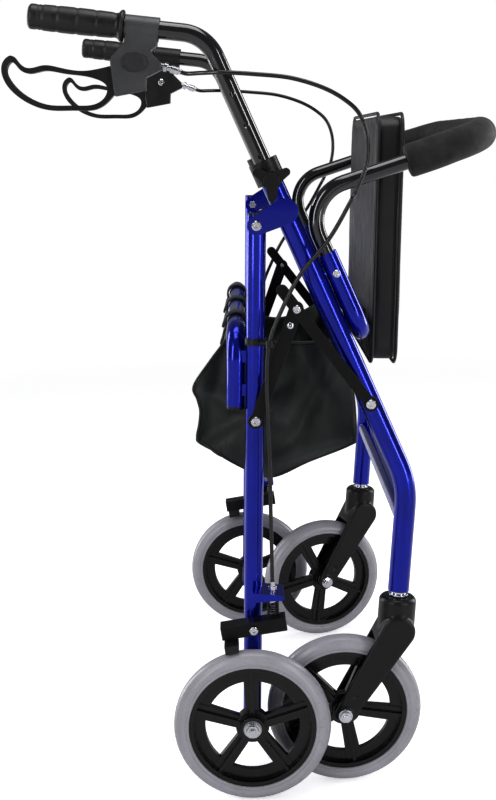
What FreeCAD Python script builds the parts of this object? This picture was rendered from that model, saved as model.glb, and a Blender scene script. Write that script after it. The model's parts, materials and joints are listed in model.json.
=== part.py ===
"""Folding four-wheel rollator walker, drawn folded, seat flipped up, handles extended.

Millimetres. +Z is up and +X is the way the walker is pushed. The origin is on the floor, at the middle of
the bounding box. The user stands behind it, so the right-hand side is at negative Y.
Every file in parts/ is one named piece, or one group of identical separate pieces.
"""

import FreeCAD, Part
import math
import os

V = FreeCAD.Vector
Y_AXIS = V(0, 1, 0)
SIDES = {"right": -1, "left": 1}

# ---- driving dimensions ----------------------------------------------------------------------------------
LAYOUT_X = 14.9         # points below are laid out from here; the origin is the middle of the overall length
SIDE_Y = 248.0          # centre plane of the legs and handles, each side of the middle
WHEEL_R = 95.0          # 190 mm (7.5 inch) wheels
AXLE_Z = WHEEL_R
PIN_R = 3.0
FIT = 0.05              # radial clearance of a running fit

LEG_R = 12.7            # front leg tube
LEG_TOP = V(-5.5, 0, 748)
LEG_KINK = V(152.0, 0, 379)
LEG_BOTTOM = V(141.5, 0, 245.7)
LEG_UP = (LEG_TOP - LEG_KINK).normalize()
STEER_UP = (LEG_KINK - LEG_BOTTOM).normalize()

PIVOT = V(-20.4, 0, 690.7)          # rear legs swing about this
REAR_AXLE = V(-40.3, 0, AXLE_Z)
REAR_R = 11.1                       # rear leg and rear crossbar tube
REAR_UP = (PIVOT - REAR_AXLE).normalize()
REAR_WHEEL_Y = 290.0

SOCKET_TOP = V(60.5, 0, 656)        # front U tube: a backrest socket each side, a crossbar between
FRONT_BAR = V(101.0, 0, 561)
FRONT_BAR_R = 11.0
SOCKET_SCREW = V(70.3, 0, 633)
SOCKET_Y = 244.0
LOWER_BAR = V(149.0, 0, 336)        # lower cross tube between the front legs

REAR_BAR_FOOT = V(-50.4, 0, 478)    # rear U tube, behind the rear legs
REAR_BAR = V(-47.4, 0, 566)
REAR_BAR_Y = 240.0
BAR_UP = (REAR_BAR - REAR_BAR_FOOT).normalize()

HANDLE_R = 10.0
KNOB_Z = 741.0                      # height clamping screw
HANDLE_BEND = LEG_TOP + LEG_UP * 167.9
HANDLE_END = V(-264.0, 0, 927.4)
GRIP_WAY = (HANDLE_END - HANDLE_BEND).normalize()
GRIP_FRONT = HANDLE_BEND + GRIP_WAY * 91.3
GRIP_R = 14.5
TUBE_WALL = 1.6
LEG_BORE_R = 11.1       # front leg bore below the stretch that guides the handle tube

LINK_FRONT = V(107.7, 0, 481.2)     # link pivots on the front leg and on the rear leg, and where they meet
LINK_REAR = V(-26.8, 0, 463.4)
LINK_APEX = V(23.2, 0, 594.9)
APEX_PLAY = 2.6         # radial play of the apex pivot in the rear bar
LINK_R = 6.8            # half the width of a link bar

BACKREST_R = 9.0
BACKREST_FOOT = V(86.0, 0, 596)
BACKREST_LOW = BACKREST_FOOT + LEG_UP * 136.3
BACKREST_FRONT = V(252.0, 0, 787.5)
BACKREST_BEND = 95.0
FOAM_R = 19.0

SEAT_FOOT = V(116.0, 0, 512)        # lower edge of the seat underside, seat flipped up
SEAT_LEAN = math.radians(2.05)
SEAT_LENGTH = 302.0
SEAT_HALF_WIDTH = 175.0
BOARD_THICK = 7.0
PAD_THICK = 28.0

CASTER_Y = SIDE_Y
TRAIL_X = 73.5                      # caster axle
LEFT_SWIVEL = 15.6                  # the left caster stands turned inwards by this many degrees

BRAKE_PIVOT = V(-36.0, 0, 211.5)
ARM_OUTER_Y = 283.0     # outer face of the brake arm
LEVER_PIVOT = V(-152.0, 0, 874.5)
HOUSING_HALF = 11.0     # half the width of the brake housing


# ---- shape helpers ---------------------------------------------------------------------------------------
def at(point, y):
    return V(point.x, y, point.z)


def rod(start, end, radius):
    return Part.makeCylinder(radius, (end - start).Length, start, end - start)


def pin(point, y0, y1, radius):
    """Round bar along Y through a point given in the XZ plane."""
    return rod(at(point, min(y0, y1)), at(point, max(y0, y1)), radius)


def hex_prism(point, y0, y1, radius):
    corners = [at(point, y0) + V(radius * math.cos(a), 0, radius * math.sin(a))
               for a in (math.radians(60 * k) for k in range(6))]
    face = Part.Face(Part.makePolygon(corners + corners[:1]))
    return face.extrude(V(0, y1 - y0, 0))


def plate(outline, y0, y1):
    """Flat plate in the XZ plane from a list of (x, z) corners, between two Y values."""
    corners = [V(x, y0, z) for x, z in outline]
    return Part.Face(Part.makePolygon(corners + corners[:1])).extrude(V(0, y1 - y0, 0))


def smooth_plate(points, y0, y1):
    """Plate whose outline is one closed smooth curve through the (x, z) points."""
    curve = Part.BSplineCurve()
    curve.interpolate([V(x, y0, z) for x, z in points], PeriodicFlag=True)
    return Part.Face(Part.Wire(curve.toShape())).extrude(V(0, y1 - y0, 0))


def strap(a, b, ra, rb, y0, y1):
    """Plate in the XZ plane that tapers between two round ends."""
    along = (b - a).normalize()
    turn = math.acos(max(-1.0, min(1.0, (ra - rb) / (b - a).Length)))
    tilt = math.atan2(along.z, along.x)
    corners = []
    for centre, radius, sign in ((a, ra, 1), (a, ra, -1), (b, rb, -1), (b, rb, 1)):
        angle = tilt + sign * turn
        corners.append((centre.x + radius * math.cos(angle), centre.z + radius * math.sin(angle)))
    body = plate(corners, y0, y1)
    return body.fuse([pin(a, y0, y1, ra), pin(b, y0, y1, rb)]).removeSplitter()


def bent_wire(points, bends):
    """Wire through the points, with each inner corner rounded to its bend radius."""
    edges = []
    start = points[0]
    for before, corner, after, bend in zip(points, points[1:], points[2:], bends):
        back = (before - corner).normalize()
        ahead = (after - corner).normalize()
        half = back.getAngle(ahead) / 2
        reach = bend / math.tan(half)
        first = corner + back * reach
        last = corner + ahead * reach
        middle_way = (back + ahead).normalize()
        middle = corner + middle_way * (bend / math.sin(half) - bend)
        edges.append(Part.makeLine(start, first))
        edges.append(Part.Arc(first, middle, last).toShape())
        start = last
    edges.append(Part.makeLine(start, points[-1]))
    return Part.Wire(edges)


def bent_rod(points, bends, radius):
    wire = bent_wire(points, bends)
    ring = Part.Wire(Part.makeCircle(radius, points[0], points[1] - points[0]))
    return wire.makePipeShell([ring], True, False)


def both(shapes):
    return Part.makeCompound(list(shapes))


def save(name, shape):
    if isinstance(shape, Part.Compound) and len(shape.Solids) == 1:
        shape = shape.Solids[0]
    shape = shape.translated(V(LAYOUT_X, 0, 0))
    shape.exportStep(f"parts/{name}.step")


# ---- front frame -----------------------------------------------------------------------------------------
def front_leg(y):
    return bent_rod([at(LEG_TOP, y), at(LEG_KINK, y), at(LEG_BOTTOM, y)], [110], LEG_R)


def pivot_bracket(y):
    """Two cheek plates welded to the front leg, one each side of the rear leg."""
    cheeks = []
    for inner in (-REAR_R - 3.9, REAR_R + 0.9):
        y0 = y + inner
        y1 = y0 + 3
        cheek = strap(PIVOT, on_leg(706), 11, 15, y0, y1)
        cheeks.append(cheek.cut(pin(PIVOT, y0 - 1, y1 + 1, PIN_R + FIT)))
    return cheeks


def on_leg(z):
    """Point on the centre line of the straight upper part of the front leg."""
    return LEG_TOP + LEG_UP * ((z - LEG_TOP.z) / LEG_UP.z)


def front_frame():
    pieces = []
    for side in (-1, 1):
        pieces.append(front_leg(side * SIDE_Y))
        pieces += pivot_bracket(side * SIDE_Y)
    corner_r = at(FRONT_BAR, -SOCKET_Y)
    corner_l = at(FRONT_BAR, SOCKET_Y)
    u_points = [at(SOCKET_TOP, -SOCKET_Y), corner_r, corner_l, at(SOCKET_TOP, SOCKET_Y)]
    pieces.append(bent_rod(u_points, [30, 30], FRONT_BAR_R))
    pieces.append(rod(at(LOWER_BAR, -SIDE_Y + 4), at(LOWER_BAR, SIDE_Y - 4), 11))
    frame = pieces[0].fuse(pieces[1:])
    socket_bore_r = BACKREST_R + FIT
    bar_bore = [at(BACKREST_FOOT, -SOCKET_Y), corner_r, corner_l, at(BACKREST_FOOT, SOCKET_Y)]
    cuts = [bent_rod(bar_bore, [30, 30], socket_bore_r)]
    cuts.append(rod(at(LOWER_BAR, -SIDE_Y), at(LOWER_BAR, SIDE_Y), 11 - TUBE_WALL))
    for side in (-1, 1):
        y = side * SIDE_Y
        top = at(LEG_TOP, y) + LEG_UP * 5
        cuts.append(rod(at(on_leg(500), y), top, HANDLE_R + FIT))
        leg_bore = [at(on_leg(505), y), at(LEG_KINK, y), at(LEG_BOTTOM, y) + STEER_UP * 50]
        cuts.append(bent_rod(leg_bore, [110], LEG_BORE_R))
        cuts.append(pin(LINK_FRONT, y - 20, y + 20, PIN_R))
        cuts.append(pin(on_leg(KNOB_Z), y, y + side * 20, PIN_R + FIT))
        foot = at(LEG_BOTTOM, y)
        cuts.append(rod(foot - STEER_UP * 2, foot + STEER_UP * 42, 5 + FIT))
        foot = at(BACKREST_FOOT, side * SOCKET_Y)
        cuts.append(rod(foot, foot + LEG_UP * 71, socket_bore_r))
        cuts.append(pin(SOCKET_SCREW, side * SOCKET_Y, side * 262, 2.5))
    return frame.cut(both(cuts))


def height_clamp(side):
    """Plastic collar that caps the front leg and guides the handle tube."""
    y = side * SIDE_Y
    top = at(LEG_TOP, y)
    collar = rod(top - LEG_UP * 10, top + LEG_UP * 16, 17)
    boss = pin(on_leg(KNOB_Z), y + side * 10, y + side * 20, 11)
    collar = collar.fuse(boss)
    collar = collar.cut(rod(top - LEG_UP * 30, top, LEG_R + FIT))
    collar = collar.cut(rod(top - LEG_UP, top + LEG_UP * 20, HANDLE_R + FIT))
    return collar.cut(pin(on_leg(KNOB_Z), y, y + side * 30, PIN_R + FIT))


def height_knob(side):
    """Three-wing clamping knob with its screw."""
    y = side * SIDE_Y
    centre = on_leg(KNOB_Z)
    face = y + side * 20.2
    knob = pin(centre, face, face + side * 16, 9)
    for k in range(3):
        angle = math.radians(90 + 120 * k + 60)
        tip = centre + V(19 * math.cos(angle), 0, 19 * math.sin(angle))
        knob = knob.fuse(strap(centre, tip, 8, 4.5, face + side * 5, face + side * 14))
    screw = pin(centre, y + side * (HANDLE_R + 0.3), face + side * 4, PIN_R)
    return knob.fuse(screw).removeSplitter()


def bolt_head(point, y, side, radius):
    """Chamfered button head with a hexagon socket, standing on the plane at y."""
    head = pin(point, y, y + side * 2, radius)
    head = head.fuse(Part.makeCone(radius, radius - 1.2, 1, at(point, y + side * 2), V(0, side, 0)))
    socket = sorted((y + side * 1.2, y + side * 4))
    return head.cut(hex_prism(point, *socket, 2.4))


def leg_bolt(point, y_inner, y_outer, head_r=5.8):
    """Bolt along Y with a button head outside and a nut inside."""
    side = 1 if y_outer > y_inner else -1
    bolt = pin(point, y_inner, y_outer, PIN_R)
    head = bolt_head(point, y_outer, side, head_r)
    nut = hex_prism(point, min(y_inner, y_inner - side * 4), max(y_inner, y_inner - side * 4), 5.5)
    return bolt.fuse([head, nut])


def socket_screw(side):
    point = SOCKET_SCREW
    y = side * SOCKET_Y
    screw = pin(point, y + side * (BACKREST_R + 0.4), y + side * 12.6, 2.45)
    return screw.fuse(bolt_head(point, y + side * 11.05, side, 4.6))


# ---- handles ---------------------------------------------------------------------------------------------
def handle_tube(side):
    y = side * SIDE_Y
    foot = LEG_TOP - LEG_UP * 125
    tube = bent_rod([at(foot, y), at(HANDLE_BEND, y), at(HANDLE_END, y)], [45], HANDLE_R)
    bore_points = [at(foot, y) - LEG_UP, at(HANDLE_BEND, y), at(HANDLE_END, y) + GRIP_WAY]
    bore = bent_rod(bore_points, [45], HANDLE_R - 1.5)
    tube = tube.cut(bore)
    for k in range(6):
        hole = on_leg(837.7) - LEG_UP * (38 * k)
        tube = tube.cut(pin(hole, y - 20, y + 20, 3.2))
    return tube


def grip(side):
    y = side * SIDE_Y
    start = at(GRIP_FRONT, y)
    end = at(HANDLE_END, y) + GRIP_WAY * 4
    body = rod(start, end, GRIP_R)
    body = body.fuse(rod(start, start + GRIP_WAY * 5, GRIP_R + 3))
    for k in range(4):
        middle = start + GRIP_WAY * (24 + 22 * k)
        groove = rod(middle - GRIP_WAY * 1.5, middle + GRIP_WAY * 1.5, GRIP_R + 4)
        body = body.cut(groove.cut(rod(start, end, GRIP_R - 1.2)))
    return body.cut(rod(start - GRIP_WAY, at(HANDLE_END, y), HANDLE_R))


def brake_housing(side):
    """Bracket clamped round the handle tube; it carries the lever and the cable end."""
    y = side * SIDE_Y
    y0, y1 = y - HOUSING_HALF, y + HOUSING_HALF
    outline = [(-159, 912), (-124, 908), (-126.5, 892), (-134, 886), (-122.5, 874), (-122, 866),
               (-139.5, 858), (-140.5, 844), (-175.5, 838.5), (-178, 861), (-179, 878.5),
               (-167, 892), (-163, 896)]
    body = plate(outline, y0, y1)
    rims = [e for e in body.Edges if abs(e.Vertexes[0].Point.y - e.Vertexes[-1].Point.y) < 1]
    body = body.makeChamfer(1.3, rims)
    body = body.fuse(rod(at(GRIP_FRONT, y) - GRIP_WAY * 1, at(GRIP_FRONT, y) - GRIP_WAY * 39, 13.2))
    body = body.cut(rod(at(GRIP_FRONT, y) + GRIP_WAY * 9, at(GRIP_FRONT, y) - GRIP_WAY * 45, HANDLE_R + FIT))
    slot = plate([(-200, 820), (-200, 887), (-141, 887), (-141, 820)], y - 6.2, y + 6.2)
    body = body.cut(slot)
    body = body.cut(pin(LEVER_PIVOT, y - 20, y + 20, PIN_R + FIT))
    face = y + side * (HOUSING_HALF - 1)
    cap = Part.Ellipse(at(LEVER_PIVOT, face) + V(16, 0, 0), at(LEVER_PIVOT, face) + V(0, 0, 11.5),
                       at(LEVER_PIVOT, face))
    cap = Part.Face(Part.Wire(cap.toShape())).extrude(V(0, side * 1.9, 0))
    body = body.fuse(cap)
    return body.cut(rod(at(CABLE_EYE, y) - CABLE_WAY * 12, at(CABLE_EYE, y) + CABLE_WAY * 6, 3.15))


def lever(side):
    """Loop lever: squeezed upwards it brakes."""
    y = side * SIDE_Y
    outer = [(-179, 871.5), (-194, 868.5), (-207, 867), (-235, 871), (-255, 874), (-269, 871.5), (-281, 877),
             (-289, 885.5), (-297, 881), (-300.8, 871), (-298, 858), (-287, 843.5), (-274, 834),
             (-252, 825.5), (-221, 824), (-196, 825), (-178, 838), (-160, 857), (-145, 866), (-142.5, 876),
             (-150, 884), (-165, 880)]
    inner = [(-194, 857), (-207, 861), (-233, 865), (-254, 868), (-268, 865.5), (-280, 870), (-289, 878.5),
             (-295, 871), (-292.5, 860), (-282.5, 847.5), (-271, 839), (-250, 831), (-221, 829.5),
             (-198, 830.5), (-186, 839), (-184, 849)]
    band = smooth_plate(outer, y - 6, y + 6).cut(smooth_plate(inner, y - 7, y + 7))
    return band.cut(pin(LEVER_PIVOT, y - 20, y + 20, PIN_R + FIT))


CABLE_EYE = V(-120.5, 0, 870.0)
CABLE_WAY = V(19, 0, -6.7).normalize()


def lever_hardware(side):
    """Lever pivot pin, its outer end under the oval cap, and cable adjuster: two separate pieces."""
    y = side * SIDE_Y
    inner_face = y - side * (HOUSING_HALF + 0.1)
    bolt = pin(LEVER_PIVOT, inner_face, y + side * (HOUSING_HALF - 1.2), PIN_R)
    bolt = bolt.fuse(bolt_head(LEVER_PIVOT, inner_face, -side, 5))
    eye = at(CABLE_EYE, y)
    adjuster = rod(eye - CABLE_WAY * 10, eye + CABLE_WAY * 21, 3.1)
    adjuster = adjuster.fuse(rod(eye + CABLE_WAY * 1.2, eye + CABLE_WAY * 5, 5.2))
    adjuster = adjuster.fuse(rod(eye + CABLE_WAY * 9, eye + CABLE_WAY * 18, 4.4))
    return both([bolt, adjuster])


CABLE = [(-100.3, 248, 862.9), (-95, 248.2, 861.1), (-78, 254, 861.2), (-54, 262.5, 860.8), (-20, 266, 858),
         (20, 268, 853), (55, 270, 842), (80, 272, 828), (97, 274, 811), (105, 275, 785), (103, 277, 754),
         (90, 280, 724), (62, 281, 677), (28, 279, 636), (8, 276, 600), (-8, 273, 560), (-13, 271, 512),
         (-12, 270, 428), (-12, 270, 350), (-12, 270, 284), (-12, 270, 269)]


def cable(side):
    """Sheathed brake cable from the lever adjuster, down in front of the rear leg, to the brake."""
    curve = Part.BSplineCurve()
    points = [V(x, side * y, z) for x, y, z in CABLE]
    curve.interpolate(points)
    wire = Part.Wire(curve.toShape())
    ring = Part.Wire(Part.makeCircle(2.4, points[0], points[1] - points[0]))
    return wire.makePipeShell([ring], True, True)


# ---- rear frame ------------------------------------------------------------------------------------------
def on_rear_leg(z):
    return REAR_AXLE + REAR_UP * ((z - REAR_AXLE.z) / REAR_UP.z)


def rear_frame():
    pieces = []
    for side in (-1, 1):
        y = side * SIDE_Y
        pieces.append(rod(at(on_rear_leg(80), y), at(on_rear_leg(702), y), REAR_R))
        for z in (498, 538):
            back = on_rear_leg(z)
            lug = plate([(back.x - 22, z - 7), (back.x, z - 7), (back.x, z + 7), (back.x - 22, z + 7)],
                        min(y, y - side * 8), max(y, y - side * 8))
            pieces.append(lug)
        tab = plate([(-36, 246), (1.5, 248), (1.5, 253), (-36, 258)], min(side * 240, side * 282),
                    max(side * 240, side * 282))
        pieces.append(tab)
    foot_r, corner_r = at(REAR_BAR_FOOT, -REAR_BAR_Y), at(REAR_BAR, -REAR_BAR_Y)
    foot_l, corner_l = at(REAR_BAR_FOOT, REAR_BAR_Y), at(REAR_BAR, REAR_BAR_Y)
    pieces.append(bent_rod([foot_r, corner_r, corner_l, foot_l], [34, 34], REAR_R))
    frame = pieces[0].fuse(pieces[1:])
    bore_r = REAR_R - TUBE_WALL
    cuts = [bent_rod([foot_r - BAR_UP, corner_r, corner_l, foot_l - BAR_UP], [34, 34], bore_r)]
    for side in (-1, 1):
        y = side * SIDE_Y
        cuts.append(rod(at(on_rear_leg(79), y), at(on_rear_leg(704), y), bore_r))
        cuts.append(pin(REAR_AXLE, y - 20, y + 20, 4))
        cuts.append(pin(PIVOT, y - 20, y + 20, PIN_R))
        cuts.append(pin(LINK_REAR, y - 20, y + 20, PIN_R))
        cuts.append(pin(BRAKE_PIVOT, y - 20, y + 20, PIN_R))
        cuts.append(rod(V(-12, side * 270, 240), V(-12, side * 270, 260), 3))
    return frame.cut(both(cuts))


def plug(side):
    """Plastic end plugs of the rear leg top and of the rear U tube foot, two separate pieces."""
    y = side * SIDE_Y
    radius = REAR_R - TUBE_WALL - FIT
    top = rod(at(on_rear_leg(696), y), at(on_rear_leg(702), y), radius)
    top = top.fuse(rod(at(on_rear_leg(702), y), at(on_rear_leg(704), y), REAR_R))
    bar_foot = at(REAR_BAR_FOOT, side * REAR_BAR_Y)
    low = rod(bar_foot, bar_foot + BAR_UP * 7, radius)
    low = low.fuse(rod(bar_foot - BAR_UP * 3, bar_foot, REAR_R))
    return [top, low]


def rear_axle(side):
    y = side * SIDE_Y
    outer = side * (REAR_WHEEL_Y + 16.5)
    axle = pin(REAR_AXLE, y - side * (REAR_R + 3), outer + side * 10, 4)
    sleeve = pin(REAR_AXLE, y + side * (REAR_R + 0.2), side * (REAR_WHEEL_Y - 16.3), 7)
    nut = hex_prism(REAR_AXLE, min(outer, outer + side * 7), max(outer, outer + side * 7), 8)
    washer = pin(REAR_AXLE, outer - side * 0.2, outer + side * 1.2, 9.5)
    inner = y - side * (REAR_R + 0.3)
    head = hex_prism(REAR_AXLE, min(inner, inner - side * 5), max(inner, inner - side * 5), 8)
    return axle.fuse([sleeve, nut, washer, head])


def cable_stop(side):
    """Threaded cable adjuster through the brake tab."""
    y = side * 270
    stop = rod(V(-12, y, 242), V(-12, y, 268), 2.95)
    stop = stop.fuse(rod(V(-12, y, 258.6), V(-12, y, 263), 5))
    return stop.fuse(rod(V(-12, y, 242), V(-12, y, 246), 4.5))


def cable_clip(side):
    """Strap that holds the cable against the rear leg."""
    y = side * SIDE_Y
    leg = on_rear_leg(556)
    a, b = at(leg, y) - REAR_UP * 4, at(leg, y) + REAR_UP * 4
    ring = rod(a, b, REAR_R + 1.9).cut(rod(a - REAR_UP, b + REAR_UP, REAR_R + 0.1))
    cable_at = V(-8.4, side * 272.8, 556)
    loop = rod(cable_at - V(0, 0, 4), cable_at + V(0, 0, 4), 5)
    arm = rod(V(leg.x + 4, y + side * 12, 556), cable_at, 2.2)
    body = ring.fuse([loop, arm]).cut(rod(cable_at - V(0, 0, 12), cable_at + V(0, 0, 12), 3.9))
    return body.cut(rod(a - REAR_UP * 9, b + REAR_UP * 9, REAR_R + 0.1))


BAG_PROFILE = [(-60, 552), (-78, 530), (-98, 492), (-95, 426), (-58, 398), (-12, 380), (40, 388), (95, 416),
               (92, 470), (84, 546)]
BAG_HALF_WIDTH = 205.0


def bag():
    """Storage bag, an open-topped sack."""
    outer = plate(BAG_PROFILE, -BAG_HALF_WIDTH, BAG_HALF_WIDTH)
    inside = [(-56, 556), (-73, 530), (-93, 490), (-90, 429), (-56, 403), (-12, 385), (39, 393), (90, 419),
              (87, 470), (79, 556)]
    return outer.cut(plate(inside, -BAG_HALF_WIDTH + 4, BAG_HALF_WIDTH - 4))


def bag_strap(y):
    """Webbing loop from the bag hem round the rear crossbar."""
    centre = V(REAR_BAR.x, y, REAR_BAR.z)
    half = V(0, 14, 0)
    ring = rod(centre - half, centre + half, REAR_R + 2.3)
    tail = plate([(-61.2, 567), (-59, 567), (-60.2, 552.2), (-78.2, 530.2), (-79.7, 531.4), (-61.9, 553)],
                 y - 14, y + 14)
    return ring.fuse(tail).cut(rod(centre - half * 2, centre + half * 2, REAR_R + 0.2))


# ---- wheels ----------------------------------------------------------------------------------------------
def ring(point, y0, y1, outer, inner):
    return pin(point, y0, y1, outer).cut(pin(point, y0 - 1, y1 + 1, inner))


def tyre(point, y):
    """Solid tyre: a rounded band from the rim seat to the tread."""
    half = 14.0
    seat = 76.6
    tread = Part.Arc(V(seat + 8, 0, half), V(WHEEL_R, 0, 0), V(seat + 8, 0, -half)).toShape()
    low = Part.makePolygon([V(seat + 8, 0, -half), V(seat, 0, -half + 2), V(seat, 0, half - 2),
                            V(seat + 8, 0, half)])
    section = Part.Face(Part.Wire([tread] + low.Edges))
    band = section.revolve(V(0, 0, 0), V(0, 0, 1), 360)
    band.rotate(V(0, 0, 0), V(1, 0, 0), 90)
    band.translate(at(point, y))
    return band


def rim(point, y, first_spoke):
    """Five-spoke plastic rim with a bearing seat in each face of the hub."""
    body = ring(point, y - 11, y + 11, 76.5, 71)
    body = body.fuse(ring(point, y - 4, y + 4, 72, 57))
    body = body.fuse(pin(point, y - 16, y + 16, 15))
    body = body.fuse(pin(point, y - 7, y + 7, 20))
    for k in range(5):
        angle = math.radians(first_spoke + 72 * k)
        tip = point + V(65 * math.cos(angle), 0, 65 * math.sin(angle))
        foot = point + V(14 * math.cos(angle), 0, 14 * math.sin(angle))
        body = body.fuse(strap(foot, tip, 7.5, 9.5, y - 5, y + 5))
        body = body.fuse(strap(foot, point + (tip - point) * 1.1, 2.6, 1.8, y - 8.5, y + 8.5))
    for face in (-1, 1):
        outer = y + face * 17
        body = body.cut(pin(point, y + face * 9, outer, 11))
    return body.cut(pin(point, y - 17, y + 17, 7))


def bearings(point, y):
    found = []
    for face in (-1, 1):
        a, b = sorted((y + face * 9, y + face * 16))
        found.append(ring(point, a, b, 11, 4 + FIT))
    return both(found)


# ---- casters ---------------------------------------------------------------------------------------------
def caster_fork(y):
    axle = V(TRAIL_X, 0, AXLE_Z)
    head = at(LEG_BOTTOM, y)
    hull = strap(V(139, 0, 199), axle, 20.5, 12.7, y - 25, y + 25)
    rims = [e for e in hull.Edges if abs(e.Vertexes[0].Point.y - e.Vertexes[-1].Point.y) < 1]
    hull = hull.makeFillet(4, rims)
    wheel_room = pin(axle, y - 19, y + 19, 100)
    hull = hull.cut(wheel_room)
    neck = rod(head - STEER_UP * 58, head - STEER_UP * 11, 22.6)
    neck = neck.fuse(Part.makeCone(22.6, 19, 4, head - STEER_UP * 11, STEER_UP))
    for depth in (17, 23):
        groove = rod(head - STEER_UP * depth, head - STEER_UP * (depth - 1.4), 24)
        neck = neck.cut(groove.cut(rod(head - STEER_UP * 30, head, 21.8)))
    fork = hull.fuse(neck.cut(wheel_room))
    for face in (-1, 1):
        fork = fork.fuse(ring(axle, *sorted((y + face * 24.5, y + face * 27)), 10, 4.5))
        dimple = V(87, 0, 118)
        fork = fork.cut(pin(dimple, y + face * 23, y + face * 30, 3.6))
    fork = fork.cut(rod(head - STEER_UP * 70, head, 5))
    return fork.cut(pin(axle, y - 30, y + 30, 4))


def caster_hardware(y):
    """Stem with its washer stack, and the axle with nut and spacers: two separate pieces."""
    head = at(LEG_BOTTOM, y)
    stem = rod(head - STEER_UP * 40, head + STEER_UP * 38, 5)
    stem = stem.fuse(rod(head - STEER_UP * 6, head - STEER_UP * 0.2, 9))
    stem = stem.fuse(rod(head - STEER_UP * 6, head - STEER_UP * 4, 12))
    point = V(TRAIL_X, 0, AXLE_Z)
    axle = pin(point, y - 34.5, y + 34.5, 4)
    for face in (-1, 1):
        a, b = sorted((y + face * 27, y + face * 28.2))
        axle = axle.fuse(pin(point, a, b, 8.5))
        a, b = sorted((y + face * 28, y + face * 33))
        axle = axle.fuse(hex_prism(point, a, b, 7))
        a, b = sorted((y + face * 16.3, y + face * 18.9))
        axle = axle.fuse(pin(point, a, b, 6.5))
    return both([stem, axle])


# ---- folding links ---------------------------------------------------------------------------------------
def link_pair(side):
    """Front bar and rear bar; they cross at the apex, the front bar outside."""
    y_rear = sorted((side * 261.3, side * 264.7))
    y_front = sorted((side * 265.0, side * 268.5))
    past_apex = LINK_APEX + (LINK_APEX - LINK_FRONT).normalize() * 27
    front = strap(LINK_FRONT, past_apex, LINK_R, LINK_R, *y_front).fuse(pin(LINK_FRONT, *y_front, 9))
    rear = strap(LINK_REAR, LINK_APEX, LINK_R, 8.4, *y_rear).fuse(pin(LINK_REAR, *y_rear, 9))
    for point in (LINK_FRONT, LINK_APEX):
        front = front.cut(pin(point, *(y_front[0] - 1, y_front[1] + 1), PIN_R + FIT))
    rear = rear.cut(pin(LINK_REAR, y_rear[0] - 1, y_rear[1] + 1, PIN_R + FIT))
    rear = rear.cut(pin(LINK_APEX, y_rear[0] - 1, y_rear[1] + 1, PIN_R + APEX_PLAY))
    return front, rear


def apex_bolt(side):
    outer = side * 268.5
    bolt = pin(LINK_APEX, side * 261.0, outer, PIN_R)
    return bolt.fuse(bolt_head(LINK_APEX, outer, side, 5))


# ---- brakes ----------------------------------------------------------------------------------------------
def tilt_about_pivot(shape):
    shape.rotate(BRAKE_PIVOT, Y_AXIS, -8)
    return shape


def brake_arm(side):
    """Channel that rocks on the rear leg and presses the shoe on the tyre."""
    x, z = BRAKE_PIVOT.x, BRAKE_PIVOT.z
    y0, y1 = sorted((side * 261.0, side * ARM_OUTER_Y))
    outline = [(x - 39, z - 6.5), (x + 40, z - 6.5), (x + 40, z + 9.5), (x - 39, z + 9.5)]
    arm = plate(outline, y0, y1)
    inside = [(x - 40, z - 8), (x + 37.5, z - 8), (x + 37.5, z + 7), (x - 40, z + 7)]
    arm = arm.cut(plate(inside, y0 + 2.5, y1 - 2.5))
    arm = arm.cut(pin(BRAKE_PIVOT, y0 - 1, y1 + 1, PIN_R + FIT))
    return tilt_about_pivot(arm)


def brake_shoe(side):
    """Rubber block: a core held in the channel and a wider foot over the tyre."""
    x, z = BRAKE_PIVOT.x, BRAKE_PIVOT.z
    core = plate([(x - 35.5, z - 14), (x - 22, z - 14), (x - 22, z + 6.9), (x - 35.5, z + 6.9)],
                 *sorted((side * 263.7, side * (ARM_OUTER_Y - 2.7))))
    foot = plate([(x - 37, z - 18.9), (x - 20.7, z - 17.9), (x - 20.7, z - 9), (x - 37, z - 9)],
                 *sorted((side * 266, side * (REAR_WHEEL_Y + 9))))
    return tilt_about_pivot(core.fuse(foot))


def brake_bolt(side):
    y = side * SIDE_Y
    return leg_bolt(BRAKE_PIVOT, y - side * (REAR_R + 0.2), side * (ARM_OUTER_Y + 0.2), 5.5)


def brake_spring(side):
    """Return spring between the brake tab and the front end of the arm."""
    height, turns, radius, wire_r = 17.0, 5, 6.5, 1.0
    helix = Part.makeHelix(height / turns, height, radius)
    ring_wire = Part.Wire(Part.makeCircle(wire_r, V(radius, 0, 0), V(0, 1, 0.09)))
    coil = Part.Wire(helix.Edges).makePipeShell([ring_wire], True, True)
    coil.translate(V(-12, side * 270, 226.7))
    return coil


# ---- seat and backrest -----------------------------------------------------------------------------------
def seat_block(along0, along1, out0, out1, half_width, corner):
    """Rounded slab in the seat's own frame: along its length, outwards from its underside, and across."""
    slab = Part.makeBox(out1 - out0, 2 * half_width, along1 - along0, V(out0, -half_width, along0))
    edges = [e for e in slab.Edges if abs(e.Vertexes[0].Point.x - e.Vertexes[-1].Point.x) > 1]
    slab = slab.makeFillet(corner, edges)
    slab.rotate(V(0, 0, 0), Y_AXIS, math.degrees(SEAT_LEAN))
    slab.translate(SEAT_FOOT)
    return slab


def seat_hinge(y):
    """Bracket that turns on the front crossbar and carries the seat board."""
    centre = at(FRONT_BAR, y)
    half = V(0, 12, 0)
    body = rod(centre - half, centre + half, FRONT_BAR_R + 3)
    arm = Part.makeBox(16, 24, 26, V(FRONT_BAR.x, y - 12, FRONT_BAR.z - 13))
    clear = seat_block(-50, 400, 0, 60, 300, 5)
    return body.fuse(arm).cut(clear).cut(rod(centre - half * 2, centre + half * 2, FRONT_BAR_R + FIT))


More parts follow.
